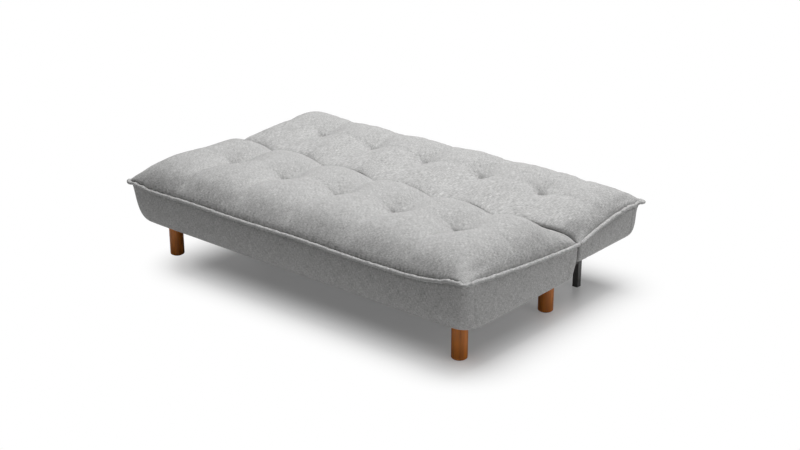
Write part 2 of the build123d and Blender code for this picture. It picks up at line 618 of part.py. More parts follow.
def from_pivot(radius, direction):
    """A point at a distance from the fold axis, as (Y, Z), by its angle from +Y towards +Z."""
    angle = radians(direction)
    return (HINGE_Y + radius * cos(angle), HINGE_HEIGHT + radius * sin(angle))


# The engaged pawl lies along the tangent at its nose, so that the teeth push it end on
nose = from_pivot(NOTCH_CENTRE, PAWL_DIRECTION)
strut = radians(PAWL_DIRECTION - 90)
PAWL_PIVOT = (nose[0] + PAWL_LENGTH * cos(strut), nose[1] + PAWL_LENGTH * sin(strut))


def hinge_bolts(plate_x, places):
    """The bolts of both hinge plates of one section, with a head outside and a nut inside the rail."""
    rail_x = plate_x - PLATE - SIDE_RAIL
    ends = ((plate_x, BOLT_HEAD, BOLT_HEAD_RADIUS), (rail_x - NUT, NUT, NUT_RADIUS))
    with BuildPart() as bolts:
        for side in SIDES.values():
            for inner, length, radius in ends:
                with BuildSketch(side_plane(side, inner, length)):
                    with Locations(*places):
                        Circle(radius)
                extrude(amount=length)
            with BuildSketch(side_plane(side, rail_x, PLATE + SIDE_RAIL)):
                with Locations(*places):
                    Circle(BOLT_RADIUS)
            extrude(amount=PLATE + SIDE_RAIL)
    return bolts.part


save(hinge_bolts(SEAT_RAIL_X + PLATE, SEAT_BOLTS), "hinge_bolts_seat")
save(hinge_bolts(PLATE_OUT, BACK_BOLTS), "hinge_bolts_back")

for name, side in SIDES.items():
    seat_plate_plane = side_plane(side, SEAT_RAIL_X, PLATE)
    back_plate_plane = side_plane(side, BACK_PLATE_X, PLATE)

    # Seat plate: a foot along the rail, and a horn up to the fold axis and the pawl's pin
    with BuildPart() as seat_plate:
        with BuildSketch(seat_plate_plane):
            with Locations(*SEAT_BOLTS):
                Circle(FLANGE_RADIUS)
            make_hull()
        with BuildSketch(seat_plate_plane):
            with Locations(SEAT_BOLTS[1]):
                Circle(FLANGE_RADIUS)
            with Locations(PIVOT):
                Circle(EYE_RADIUS)
            with Locations(PAWL_PIVOT):
                Circle(PAWL_EYE_RADIUS)
            make_hull()
        extrude(amount=PLATE)
        with BuildSketch(seat_plate_plane):
            with Locations(*SEAT_BOLTS):
                Circle(BOLT_RADIUS)
            with Locations(PIVOT):
                Circle(PIN_RADIUS)
            with Locations(PAWL_PIVOT):
                Circle(PAWL_PIN_RADIUS)
        extrude(amount=PLATE, mode=Mode.SUBTRACT)
    save(seat_plate.part, f"hinge_seat_plate_{name}")

    # Back plate: a foot along the rail, the eye, and the ratchet sector with its notches
    notches = [PAWL_DIRECTION - lock for lock in LOCK_ANGLES]
    first, last = min(notches) - RATCHET_MARGIN, max(notches) + RATCHET_MARGIN
    sector = (first, (first + last) / 2, last)
    with BuildPart() as back_plate:
        with BuildSketch(back_plate_plane):
            with Locations(*BACK_BOLTS):
                Circle(FLANGE_RADIUS)
            with Locations(PIVOT):
                Circle(EYE_RADIUS)
            make_hull()
        with BuildSketch(back_plate_plane):
            with BuildLine():
                rim = ThreePointArc(*[from_pivot(RATCHET_RADIUS, angle) for angle in sector])
                Polyline(rim @ 1, PIVOT, rim @ 0)
            make_face()
        extrude(amount=PLATE)
        for angle in notches:
            notch_ends = (NOTCH_CENTRE, NOTCH_CENTRE + RATCHET_RADIUS)
            with BuildSketch(back_plate_plane):
                with Locations(*[from_pivot(radius, angle) for radius in notch_ends]):
                    Circle(NOTCH_RADIUS)
                make_hull()
            extrude(amount=PLATE, mode=Mode.SUBTRACT)
        with BuildSketch(back_plate_plane):
            with Locations(*BACK_BOLTS):
                Circle(BOLT_RADIUS)
            with Locations(PIVOT):
                Circle(PIN_RADIUS + RUNNING_FIT)
        extrude(amount=PLATE, mode=Mode.SUBTRACT)
    save(back_plate.part, f"hinge_back_plate_{name}")

    # Pivot pin: riveted through the seat plate, with a shoulder between the plates
    pin_steps = (
        (SEAT_RAIL_X - PIN_HEAD, PIN_HEAD, PIN_HEAD_RADIUS),
        (SEAT_RAIL_X, PLATE_OUT + RUNNING_FIT - SEAT_RAIL_X, PIN_RADIUS),
        (SEAT_RAIL_X + PLATE, PLATE_GAP - RUNNING_FIT, PIN_HEAD_RADIUS),
        (PLATE_OUT + RUNNING_FIT, PIN_HEAD, PIN_HEAD_RADIUS),
    )
    with BuildPart() as hinge_pin:
        for inner, length, radius in pin_steps:
            with BuildSketch(side_plane(side, inner, length)):
                with Locations(PIVOT):
                    Circle(radius)
            extrude(amount=length)
    save(hinge_pin.part, f"hinge_pin_{name}")

    # Pawl pin: riveted in the seat plate, with a head that keeps the pawl on
    pawl_pin_steps = (
        (SEAT_RAIL_X, PLATE_OUT + RUNNING_FIT - SEAT_RAIL_X, PAWL_PIN_RADIUS),
        (SEAT_RAIL_X + PLATE, PLATE_GAP - RUNNING_FIT, PAWL_COLLAR_RADIUS),
        (PLATE_OUT + RUNNING_FIT, PAWL_PIN_HEAD, PAWL_COLLAR_RADIUS),
    )
    with BuildPart() as pawl_pin:
        for inner, length, radius in pawl_pin_steps:
            with BuildSketch(side_plane(side, inner, length)):
                with Locations(PAWL_PIVOT):
                    Circle(radius)
            extrude(amount=length)
    save(pawl_pin.part, f"pawl_pin_{name}")

    # Pawl: drawn about its own pin with the nose in a notch, then turned clear of the teeth
    lift = radians(-PAWL_LIFT)
    pawl_origin = (back_plate_plane.origin.X, *PAWL_PIVOT)
    pawl_plane = Plane(pawl_origin, x_dir=(0, cos(lift), sin(lift)), z_dir=(1, 0, 0))
    knuckle = from_pivot(PAWL_KNUCKLE, PAWL_DIRECTION)
    local_nose = (nose[0] - PAWL_PIVOT[0], nose[1] - PAWL_PIVOT[1])
    local_knuckle = (knuckle[0] - PAWL_PIVOT[0], knuckle[1] - PAWL_PIVOT[1])
    with BuildPart() as pawl:
        with BuildSketch(pawl_plane):
            Circle(PAWL_EYE_RADIUS)
            with Locations(local_knuckle):
                Circle(PAWL_KNUCKLE_RADIUS)
            make_hull()
        with BuildSketch(pawl_plane):
            with Locations(local_knuckle, local_nose):
                Circle(PAWL_NOSE_RADIUS)
            make_hull()
        extrude(amount=PLATE)
        with BuildSketch(pawl_plane):
            Circle(PAWL_PIN_RADIUS + RUNNING_FIT)
        extrude(amount=PLATE, mode=Mode.SUBTRACT)
    save(pawl.part, f"pawl_{name}")

    # Pawl spring: a flat strip from its foot on the seat plate to the back of the pawl's knuckle
    _, knuckle_y, knuckle_z = pawl_plane.from_local_coords((*local_knuckle, 0))
    foot_y, foot_z = HINGE_Y + SPRING_FOOT[0], HINGE_HEIGHT + SPRING_FOOT[1]
    reach = sqrt((knuckle_y - foot_y) ** 2 + (knuckle_z - foot_z) ** 2)
    offset_down = PAWL_KNUCKLE_RADIUS + SPRING_CLEARANCE + SPRING_THICKNESS / 2
    heading = atan((knuckle_z - foot_z) / (knuckle_y - foot_y)) - atan(offset_down / reach)
    with BuildPart() as spring:
        with BuildSketch(side_plane(side, SEAT_RAIL_X + PLATE, SPRING_WIDTH)):
            with Locations((foot_y, foot_z)):
                Circle(SPRING_FOOT_RADIUS)
            with Locations((foot_y + reach * cos(heading) / 2, foot_z + reach * sin(heading) / 2)):
                Rectangle(reach, SPRING_THICKNESS, rotation=degrees(heading))
        extrude(amount=SPRING_WIDTH)
    save(spring.part, f"pawl_spring_{name}")
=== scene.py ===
"""Looks of a click-clack futon laid flat as a bed: tufted pads, boxing, piping, wood and steel.

Each upholstered section has its own plan frame: x runs across the bed, and n runs from the section's
outer edge (front of the seat, rear of the back) to the fold. Everything is in metres.
"""

import math

import bpy
import numpy as np
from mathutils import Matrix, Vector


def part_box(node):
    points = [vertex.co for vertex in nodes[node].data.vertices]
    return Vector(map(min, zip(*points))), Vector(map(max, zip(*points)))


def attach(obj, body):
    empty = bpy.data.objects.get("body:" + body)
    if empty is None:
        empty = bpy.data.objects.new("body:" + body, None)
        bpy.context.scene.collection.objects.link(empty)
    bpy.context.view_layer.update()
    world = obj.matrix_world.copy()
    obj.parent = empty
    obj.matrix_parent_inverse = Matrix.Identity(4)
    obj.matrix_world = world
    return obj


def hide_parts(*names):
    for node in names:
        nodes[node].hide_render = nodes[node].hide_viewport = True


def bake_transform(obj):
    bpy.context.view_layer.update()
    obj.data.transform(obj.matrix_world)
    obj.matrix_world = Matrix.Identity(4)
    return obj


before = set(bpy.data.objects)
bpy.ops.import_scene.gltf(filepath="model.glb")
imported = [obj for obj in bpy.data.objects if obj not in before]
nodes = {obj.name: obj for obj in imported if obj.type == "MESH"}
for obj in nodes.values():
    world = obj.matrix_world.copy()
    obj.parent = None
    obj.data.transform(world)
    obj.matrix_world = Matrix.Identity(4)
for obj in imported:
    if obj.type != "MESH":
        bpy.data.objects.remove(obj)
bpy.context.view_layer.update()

# Sewn outline
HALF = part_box("seat_cushion")[1].x
DRAW_IN = 0.006  # how far the long edges pull in between their corners
END_DRAW = 0.006  # the same along the ends
EAR = 0.012  # how far a pinched corner stands out
EAR_REACH = 0.055
EAR_LIFT = 0.006
FOLD_Z = 0.3045  # sewn edges at the fold
FOLD_OVERLAP = 0.0055  # how far a pad's sewn edge passes its cushion's box at the fold

# Tufts
TUFT_GAP = 0.309
TUFT_COLUMNS = 2  # columns on each side of the middle one
FIRST_PAD = TUFT_COLUMNS + 1  # pads on each side of the middle
PIT_REACH = 0.046  # over which a tuft's pit fades out
PIT_POINT = 0.016  # half width of its steep middle
CREASE_DEPTH = 0.012  # across each pit
PULL_DEPTH = 0.0035  # the drawn line from a tuft towards the outer edge
LIP_REACH = (0.05, 0.06)  # from each end, where the pads press together at full height

# Cloth filling
FILL_FRAMES = 20
EVEN_PASSES = 10
SEWN_RINGS = ((0.012, 1.0), (0.026, 0.6), (0.045, 0.3))  # distance from a tuft, how firmly it is held

# Boxing and piping
WADDING = 0.006
HEM = 0.05  # how far the boxing turns under the frame
HEM_LIFT = 0.0004
END_SEAM_N = 0.052  # upright seam on the end panels, from the outer edge
END_SEAM_WIDTH = 0.0035
END_SEAM_DEPTH = 0.0060
POCKET_DEPTH = 0.046  # room for a hinge in the panels at the fold
POCKET_MARGIN = 0.012
POCKET_EDGE = 0.008
CORD = 0.0074  # radius of the piping
CORD_OUT = 0.0055  # how far its middle stands outside the seam
CORD_STEPS = 1100
CORD_SIDES = 16


class Section:
    """One upholstered section: where it lies and how its pad swells.

    A pair holds a value at the left end and one at the right end.
    crest, edge_z, corner_z, corner_reach: heights of the crown, the seam and its corners.
    pad_lift: how much higher or lower each of the six pads is, from the left.
    shoulder, end_shoulder, slope, slope_power, squareness: how the crown falls to the edges.
    lip, lip_roll, lip_notch: the upright edge at the fold, and how much of it a tuft column takes.
    lean, left_lean, lean_reach, notch_lean: how far the pad leans to the front at the fold.
    tuft_n, notch, notch_power, pit: the tuft row, the channels along its columns and its pits.
    give: the most that the cloth filling may move a point.
    tuck, fold_corner, bottom_corner, boxing_power: how the boxing rounds in towards its hem.
    """

    def __init__(self, name, body, cushion, outer_is_low, underside):
        low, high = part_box(cushion)
        self.name = name
        self.body = body
        self.outer = low.y if outer_is_low else high.y
        self.fold = high.y if outer_is_low else low.y
        self.depth = abs(self.fold - self.outer)
        self.fold_n = self.depth + FOLD_OVERLAP
        self.sign = 1 if outer_is_low else -1
        self.underside = underside

    def place(self, x, n, z):
        """Plan frame to the bed's own frame: n runs from the outer edge towards the fold."""
        x, n, z = np.broadcast_arrays(x, n, z)
        return np.stack([x, self.outer + self.sign * n, z], axis=-1)


seat = Section("seat", "seat", "seat_cushion", True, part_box("seat_skirt_front")[0].z)
seat.crest = 0.441
seat.edge_z = 0.330
seat.corner_z = (0.343, 0.367)
seat.corner_reach = (0.09, 0.15)
seat.pad_lift = np.array([0.004, 0.003, -0.003, 0.001, -0.002, 0.000])
seat.shoulder = 0.210
seat.end_shoulder = (0.125, 0.150)
seat.slope = (0.250, 0.300)
seat.slope_power = 3.4
seat.lip = (0.40, 0.40)
seat.lean = (0.085, 0.105)
seat.left_lean = 0.05
seat.lean_reach = 0.20
seat.lip_roll = 0.010
seat.squareness = (0.6, 0.0)
seat.tuft_n = 0.3494
seat.notch = 0.030
seat.notch_power = 2.2
seat.pit = 0.068
seat.lip_notch = 0.2
seat.notch_lean = 0.0
seat.give = 0.009
seat.tuck = 0.058
seat.fold_corner = 0.068
seat.bottom_corner = 0.080
seat.boxing_power = 0.75

back = Section("back", "back", "back_cushion", False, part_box("back_skirt_rear")[0].z)
back.crest = 0.455
back.edge_z = 0.348
back.corner_z = (0.356, 0.356)
back.corner_reach = (0.13, 0.13)
back.pad_lift = np.array([0.005, 0.000, 0.000, 0.001, -0.003, -0.018])
back.shoulder = 0.180
back.end_shoulder = (0.100, 0.185)
back.slope = (0.310, 0.300)
back.slope_power = 2.0
back.lip = (0.60, 0.40)
back.lean = (0.102, 0.122)
back.left_lean = 0.05
back.lean_reach = 0.10
back.lip_roll = 0.008
back.squareness = (1.0, 0.2)
back.tuft_n = back.depth - 0.169
back.notch = 0.025
back.notch_power = 1.7
back.pit = 0.050
back.lip_notch = -0.3
back.notch_lean = 0.055
back.give = 0.006
back.tuck = 0.042
back.fold_corner = 0.010
back.bottom_corner = 0.062
back.boxing_power = 0.55


def gather(u, phase=0.0):
    """Uneven gathers of sewn cloth: a sum of sines of unrelated lengths, about -1 to 1."""
    waves = ((0.043, 0.40, 1.3), (0.029, 0.25, 0.4), (0.071, 0.35, 2.9), (0.127, 0.30, 5.1))
    return sum(size * np.sin(2 * np.pi * u / length + start + phase) for length, size, start in waves)


def smooth(share):
    """Smooth step from 0 to 1."""
    share = np.clip(share, 0, 1)
    return share * share * (3 - 2 * share)


def crowd(count):
    """Even steps from -1 to 1 that crowd towards both ends, where the cloth turns most."""
    even = np.linspace(-1, 1, count)
    return 0.4 * even + 0.6 * np.sin(np.pi * even / 2)


def crowd_at(low, high, count, places, reach, turn=0.0):
    """Steps between two limits that crowd at both, at given places and at a sharp turn at the high one."""
    fine = np.linspace(low, high, 4001)
    density = 1 + 2.0 * np.exp(-(fine - low) / 0.04) + 2.0 * np.exp(-(high - fine) / 0.04)
    density += sum(2.6 * np.exp(-(((fine - place) / reach) ** 2)) for place in places)
    density += turn * np.exp(-(high - fine) / 0.012)
    walked = np.concatenate([[0], np.cumsum((density[1:] + density[:-1]) / 2)])
    return np.interp(np.linspace(0, walked[-1], count), walked, fine)


def edge_n(x):
    """n of the sewn outer edge: a shallow bow inwards between two corners that stand out."""
    corner = np.exp(-(((HALF - np.abs(x)) / EAR_REACH) ** 2))
    return DRAW_IN * (1 - (x / HALF) ** 2) - EAR * corner


def edge_x(section, n):
    """Half width at the sewn ends: a shallow bow inwards, with the outer corner standing out."""
    share = np.clip(n / section.depth, 0, 1)
    return HALF - END_DRAW * 4 * share * (1 - share) + EAR * np.exp(-((n / EAR_REACH) ** 2))


def seam_z(section, x, n):
    """Height of the seam: level along the outer edge, up at its corners, and down the ends to the fold.

    The seat's ends fall in one bend that levels out at the fold, and the back's level out at the rear.
    """
    share = np.clip(n / section.depth, 0, 1)
    if section is seat:
        dip = 1 - (1 - share) ** 1.6
    else:
        dip = np.clip(1 - (1 - share) / 0.8, 0, 1) ** 1.4
    to_end = HALF - np.abs(x)
    near_corner = np.exp(-((to_end / sideways(section.corner_reach, x)) ** 2))
    edge = section.edge_z + (sideways(section.corner_z, x) - section.edge_z) * near_corner
    corner = np.exp(-((to_end / 0.07) ** 2 + (n / 0.07) ** 2))
    wave = 0.0020 * np.sin(2 * np.pi * x / 0.62 + 0.8) * (1 - share) ** 4
    return edge + (FOLD_Z - edge) * dip + EAR_LIFT * corner + wave


def quarter(share):
    """Quarter round from 0 at the seam to 1 at the crown."""
    return np.sqrt(1 - (1 - np.clip(share, 0, 1)) ** 2)


def tuft_offsets(section, x, n):
    """Distance across and along from the nearest tuft."""
    column = np.clip(np.round(x / TUFT_GAP), -TUFT_COLUMNS, TUFT_COLUMNS)
    return x - column * TUFT_GAP, n - section.tuft_n


def sideways(pair, x):
    """A value that goes from its left-end to its right-end size across the bed."""
    return pair[0] + (pair[1] - pair[0]) * smooth((x / HALF + 1) / 2)


def fold_rise(section, x, n):
    """How far the slope at the fold has risen, from 0 at the sewn edge to 1 at the crown."""
    to_fold = np.maximum(section.fold_n - n, 0)
    share = np.clip(to_fold / sideways(section.slope, x), 0, 1)
    across = tuft_offsets(section, x, n)[0]
    lip = sideways(section.lip, x) * smooth((HALF - np.abs(x)) / sideways(LIP_REACH, x))
    lip = lip * (1 - section.lip_notch * np.exp(-((across / 0.06) ** 2)))
    return 1 - (1 - share) ** section.slope_power * (1 - lip * (1 - np.exp(-to_fold / section.lip_roll)))


def least(*shoulders):
    """A soft least of several shoulders that run from 0 to 1."""
    total = sum(np.maximum(shoulder, 1e-4) ** -3.0 for shoulder in shoulders)
    return (total - len(shoulders) + 1) ** (-1 / 3)


def pad_top(section, x, n):
    """Height of a tufted pad.

    The seam height plus the crown's rise times three shoulders (outer edge, ends and fold), less a
    valley along every tuft column, a pit that falls to a point at every tuft, a short crease across
    each pit and a fine drawn line in front of it.
    """
    base = seam_z(section, x, n)
    to_end = edge_x(section, n) - np.abs(x)
    to_outer = n - edge_n(x)
    outer = quarter(to_outer / section.shoulder)
    end = quarter(to_end / sideways(section.end_shoulder, x))
    fold = fold_rise(section, x, n)
    square = sideways(section.squareness, x)
    swell = square * least(outer * end, fold) + (1 - square) * outer * end * fold
    across, along = tuft_offsets(section, x, n)
    beside = np.clip(np.sqrt(across**2 + 0.010**2) / (TUFT_GAP / 2), 0, 1)
    pad = np.clip(np.floor(x / TUFT_GAP + FIRST_PAD), 0, 2 * FIRST_PAD - 1).astype(int)
    lift = section.pad_lift[pad] * smooth(np.abs(across) / 0.08)
    valley = section.notch * (1 - beside) ** section.notch_power * (0.3 + 0.7 * smooth(n / section.tuft_n))
    ring = np.hypot(across / 1.15, along)
    pit = section.pit * (0.70 * np.exp(-ring / PIT_REACH) + 0.30 * np.exp(-((ring / PIT_POINT) ** 2)))
    bent = along + 1.3 * across**2
    crease = CREASE_DEPTH * np.exp(-((bent / 0.009) ** 2)) * np.exp(-((across / 0.05) ** 2))
    pull = np.exp(-((across / 0.007) ** 2)) * smooth((n - 0.10) / 0.10) * smooth(-along / 0.03)
    crease = crease + PULL_DEPTH * pull
    return base + swell * (section.crest + lift - base - valley - pit - crease)


def fold_lean(section, x, n, z):
    """How far a pad leans to the front beside the fold, where the two pads press on each other.

    It grows with height, fades away from the fold and the ends, and is more at the left end and
    where the back fills the seat's channels.
    """
    across = tuft_offsets(section, x, n)[0]
    lean = sideways(section.lean, x) + section.left_lean * np.exp(-(((x + HALF) / 0.16) ** 2))
    lean = lean + section.notch_lean * np.exp(-(((across + 0.025) / 0.085) ** 2))
    lean = lean * smooth((z - FOLD_Z) / 0.085) * np.exp(-(((section.fold_n - n) / section.lean_reach) ** 2))
    return lean * quarter((edge_x(section, n) - np.abs(x)) / sideways((0.05, 0.12), x))


def add_uv(mesh, uv):
    """Cloth coordinates in metres along the two directions of the weave."""
    layer = mesh.uv_layers.new(name="cloth")
    index = np.empty(len(mesh.loops), dtype=np.int32)
    mesh.loops.foreach_get("vertex_index", index)
    layer.data.foreach_set("uv", uv[index].astype(np.float32).ravel())


def make_piece(name, points, faces, uv, material, caps=()):
    """A smooth-shaded piece from an array of points, an array of four-sided faces and any end caps."""
    mesh = bpy.data.meshes.new(name)
    mesh.from_pydata(points.tolist(), [], faces.tolist() + [cap.tolist() for cap in caps])
    mesh.update()
    add_uv(mesh, uv)
    mesh.shade_smooth()
    mesh.materials.append(material)
    piece = bpy.data.objects.new(name, mesh)
    bpy.context.scene.collection.objects.link(piece)
    return piece


def grid_faces(index):
    """Four-sided faces between neighbouring rows and columns of a grid of point numbers."""
    corners = (index[:-1, :-1], index[1:, :-1], index[1:, 1:], index[:-1, 1:])
    return np.stack([c.ravel() for c in corners], axis=-1)


def run_length(points, axis):
    """Distance walked along one direction of a grid of points, from its middle line."""
    step = np.linalg.norm(np.diff(points, axis=axis), axis=-1)
    walked = np.concatenate([np.zeros_like(step.take([0], axis)), np.cumsum(step, axis)], axis)
    return walked - walked.take([walked.shape[axis] // 2], axis)


def subdivide(piece):
    """One level of subdivision, the same in the view and the render."""
    finish = piece.modifiers.new("Finish", "SUBSURF")
    finish.levels = finish.render_levels = 1


def read_points(mesh):
    """The points of a mesh as an array."""
    flat = np.empty(len(mesh.vertices) * 3, dtype=np.float32)
    mesh.vertices.foreach_get("co", flat)
    return flat.reshape(-1, 3).astype(float)


def even_out(moves, passes):
    """Soften a grid of moves: each takes a share of its neighbours' moves, pass after pass."""
    for _ in range(passes):
        moves[1:-1] = (moves[:-2] + 2 * moves[1:-1] + moves[2:]) / 4
        moves[:, 1:-1] = (moves[:, :-2] + 2 * moves[:, 1:-1] + moves[:, 2:]) / 4
    return moves


def inflate(piece, held, cap, grid):
    """Fill a sewn pad: cloth under pressure, held where it is sewn.

    Each point's move is evened out over the top's grid and then capped.
    """
    scene = bpy.context.scene
    start = read_points(piece.data)
    group = piece.vertex_groups.new(name="sewn")
    for _, weight in SEWN_RINGS:
        chosen = np.flatnonzero(np.isclose(held, weight)).tolist()
        group.add(chosen, weight, "REPLACE")
    filling = piece.modifiers.new("Filling", "CLOTH")
    cloth = filling.settings
    cloth.quality = 5
    cloth.mass = 0.35
    cloth.tension_stiffness = 12
    cloth.compression_stiffness = 6
    cloth.shear_stiffness = 3
    cloth.bending_stiffness = 2.0
    cloth.use_pressure = True
    cloth.uniform_pressure_force = 4
    cloth.shrink_min = -0.025
    cloth.effector_weights.gravity = 0
    cloth.vertex_group_mass = group.name
    filling.point_cache.frame_start = 1
    filling.point_cache.frame_end = FILL_FRAMES
    for step in range(1, FILL_FRAMES + 1):
        scene.frame_set(step)
    solved = piece.evaluated_get(bpy.context.evaluated_depsgraph_get())
    moved = read_points(solved.data) - start
    piece.modifiers.remove(filling)
    scene.frame_set(1)
    top = grid[0] * grid[1]
    moved[:top] = even_out(moved[:top].reshape(*grid, 3), EVEN_PASSES).reshape(-1, 3)
    length = np.linalg.norm(moved, axis=1)
    moved *= (np.tanh(length / cap) * cap / np.maximum(length, 1e-9))[:, None]
    piece.data.vertices.foreach_set("co", (start + moved).astype(np.float32).ravel())
    piece.data.update()


def make_pad(section, across_count, along_count):
    """A tufted pad: its swelling top and its flat underside on one grid, sewn together round the edge."""
    columns = TUFT_GAP * np.arange(-TUFT_COLUMNS, TUFT_COLUMNS + 1)
    s = crowd_at(-HALF, HALF, across_count, columns, 0.035)[:, None] / HALF
    t = crowd_at(0, section.fold_n, along_count, [section.tuft_n], 0.035, 9.0)[None, :] / section.fold_n
    flat_x = s * HALF
    n = edge_n(flat_x) * (1 - t) + t * section.fold_n
    x = s * edge_x(section, n)
    z = pad_top(section, x, n)
    top = section.place(x, n - section.sign * fold_lean(section, x, n, z), z)
    pucker = np.minimum(edge_x(section, n) - np.abs(x), n - edge_n(flat_x))
    ripple = gather(np.where(section.depth - n < 0.1, n, x)) * np.exp(-pucker / 0.03)
    drawn = gather(0.62 * x + 0.1 * n, 2.2) * np.exp(-(((n - 0.07) / 0.09) ** 2))
    top[..., 2] += (0.0016 * ripple + 0.0022 * drawn) * np.clip(pucker / 0.012, 0, 1)
    under = section.place(x, n, seam_z(section, x, n) + 0.0006)
    inner = np.zeros((across_count, along_count), dtype=bool)
    inner[1:-1, 1:-1] = True
    top_index = np.arange(top[..., 0].size).reshape(inner.shape)
    under_index = top_index.copy()
    under_index[inner] = top_index.size + np.arange(inner.sum())
    points = np.concatenate([top.reshape(-1, 3), under[inner]])
    faces = np.concatenate([grid_faces(top_index), grid_faces(under_index)[:, ::-1]])
    faces = faces if section.sign > 0 else faces[:, ::-1]
    flat_uv = np.stack([x, n], axis=-1)
    uv = np.concatenate([flat_uv.reshape(-1, 2), flat_uv[inner]])
    pad = make_piece(f"{section.name}_pad", points, faces, uv, upholstery)
    ring = np.hypot(*tuft_offsets(section, x, n))
    held = np.select([ring < reach for reach, _ in SEWN_RINGS], [weight for _, weight in SEWN_RINGS])
    held = np.where(inner, held, 1.0)
    give = section.give * (0.15 + 0.85 * smooth((ring - 0.01) / 0.09))
    inflate(pad, np.append(held, np.ones(inner.sum())), np.append(give, give[inner]), inner.shape)
    subdivide(pad)
    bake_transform(pad)
    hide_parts(f"{section.name}_cushion")
    return pad


def rounded(section, x, n, share):
    """A point of a rectangle's edge moved onto the rounded rectangle of one boxing level.

    The corner radii and the drawing in of the walls grow with share, and a point beyond the core is
    pulled back along its direction from the core to the corner's arc.
    """
    half = HALF - 0.020 * share
    near = section.tuck * share
    far = section.depth - 0.004 * share
    outer_half = n < section.depth / 2
    grow = np.where(outer_half, section.bottom_corner, section.fold_corner)
    radius = np.where(outer_half, 0.030, 0.008)
    radius = radius + (grow - radius) * share
    x = np.clip(x, -1, 1) * half
    n = near + (far - near) * n / section.depth
    core_x = np.clip(x, -(half - radius), half - radius)
    core_n = np.clip(n, near + radius, far - radius)
    out_x, out_n = x - core_x, n - core_n
    pull = radius / np.maximum(np.hypot(out_x, out_n), 1e-9)
    return core_x + out_x * pull, core_n + out_n * pull


def hinge_pocket(x):
    """1 across the two pockets that the hinges need in the panels at the fold, and 0 elsewhere."""
    low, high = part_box("hinge_seat_plate_right")
    inner, outer = low.x - POCKET_MARGIN, high.x + POCKET_MARGIN
    past_inner = smooth((np.abs(x) - inner) / POCKET_EDGE + 1)
    return past_inner * smooth((outer - np.abs(x)) / POCKET_EDGE + 1)


def make_boxing(section, side, count):
    """One boxing panel: a quarter round from the seam to a hem turned under the frame.

    Its swell out of the wall is a low belly, gathers under the seam and beside the fold, and less a
    groove at the seam, at the corners and along the end panels' upright seam.
    """
    at_end = side in ("left", "right")
    run = crowd(count)[:, None]
    turn = np.linspace(0, np.pi / 2, 26)[None, :]
    drop, share = np.sin(turn) ** section.boxing_power, 1 - np.cos(turn) ** section.boxing_power
    if at_end:
        hand = 1 if side == "right" else -1
        unit_x = hand * np.ones_like(run)
        unit_n = (run + 1) / 2 * section.depth
        sewn_x = hand * edge_x(section, unit_n)
        sewn_n = unit_n
    else:
        unit_x = run
        unit_n = np.zeros_like(run) if side == "outer" else np.full_like(run, section.depth)
        sewn_x = unit_x * edge_x(section, unit_n)
        sewn_n = edge_n(unit_x * HALF) if side == "outer" else unit_n
    sewn_n = np.where(unit_n < 1e-6, edge_n(unit_x * HALF), sewn_n)
    x, n = rounded(section, unit_x, unit_n, share)
    fade = np.exp(-drop / 0.22)
    x = x + fade * (sewn_x - unit_x * HALF)
    n = n + fade * (sewn_n - unit_n)
    top_z = seam_z(section, sewn_x, sewn_n)
    z = top_z + (section.underside - top_z) * drop
    along = np.where(np.abs(unit_x) > 0.999, unit_n, unit_x * HALF)
    out_x, out_n = (hand, 0) if at_end else (0, -1 if side == "outer" else 1)
    near_fold = np.exp(-(section.depth - unit_n) / 0.10) if at_end else 0.0
    ripple = gather(along, 1.1) * (0.0010 * np.exp(-drop / 0.25) + 0.0042 * near_fold * np.sin(2 * turn))
    corner_seam = -0.004 * np.exp(-(1 - np.abs(run)) * 9) * np.sin(turn) ** 0.5
    swell = (0.004 * np.sin(2 * turn) * (1 - run**8) + ripple) * (1 - run**40) + corner_seam * share
    swell = swell - 0.005 * np.exp(-drop / 0.08)
    if at_end:
        groove = np.exp(-(((unit_n - END_SEAM_N) / END_SEAM_WIDTH) ** 2))
        swell = swell - END_SEAM_DEPTH * groove * smooth(drop / 0.1)
    x = x + out_x * swell
    n = n + out_n * swell
    if side == "fold":
        n = n - POCKET_DEPTH * hinge_pocket(x)
    wall = section.place(x, n, z)
    foot = wall[:, -1:, :]
    middle = section.place(np.zeros(1), np.array([section.depth / 2]), np.array([section.underside]))
    inward = middle - foot
    inward[..., :2] = np.clip(inward[..., :2], -HEM, HEM)
    hem_steps = np.linspace(0.25, 1, 4)[None, :, None]
    hem = foot + inward * hem_steps
    hem[..., 2] = section.underside + HEM_LIFT
    points = np.concatenate([wall, hem], axis=1)
    index = np.arange(points[..., 0].size).reshape(points.shape[:2])
    faces = grid_faces(index)
    turned = (side in ("right", "outer")) == (section.sign > 0)
    faces = faces[:, ::-1] if turned else faces
    uv = np.stack([run_length(points, 0), run_length(points, 1)], axis=-1).reshape(-1, 2)
    outer_name = "front" if section is seat else "rear"
    place = outer_name if side == "outer" else side
    name = f"{section.name}_boxing_{place}"
    panel = make_piece(name, points.reshape(-1, 3), faces, uv, upholstery)
    wadding = panel.modifiers.new("Wadding", "SOLIDIFY")
    wadding.thickness = WADDING
    wadding.offset = -1
    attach(panel, section.body)
    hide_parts(f"{section.name}_skirt_{place}")
    return panel


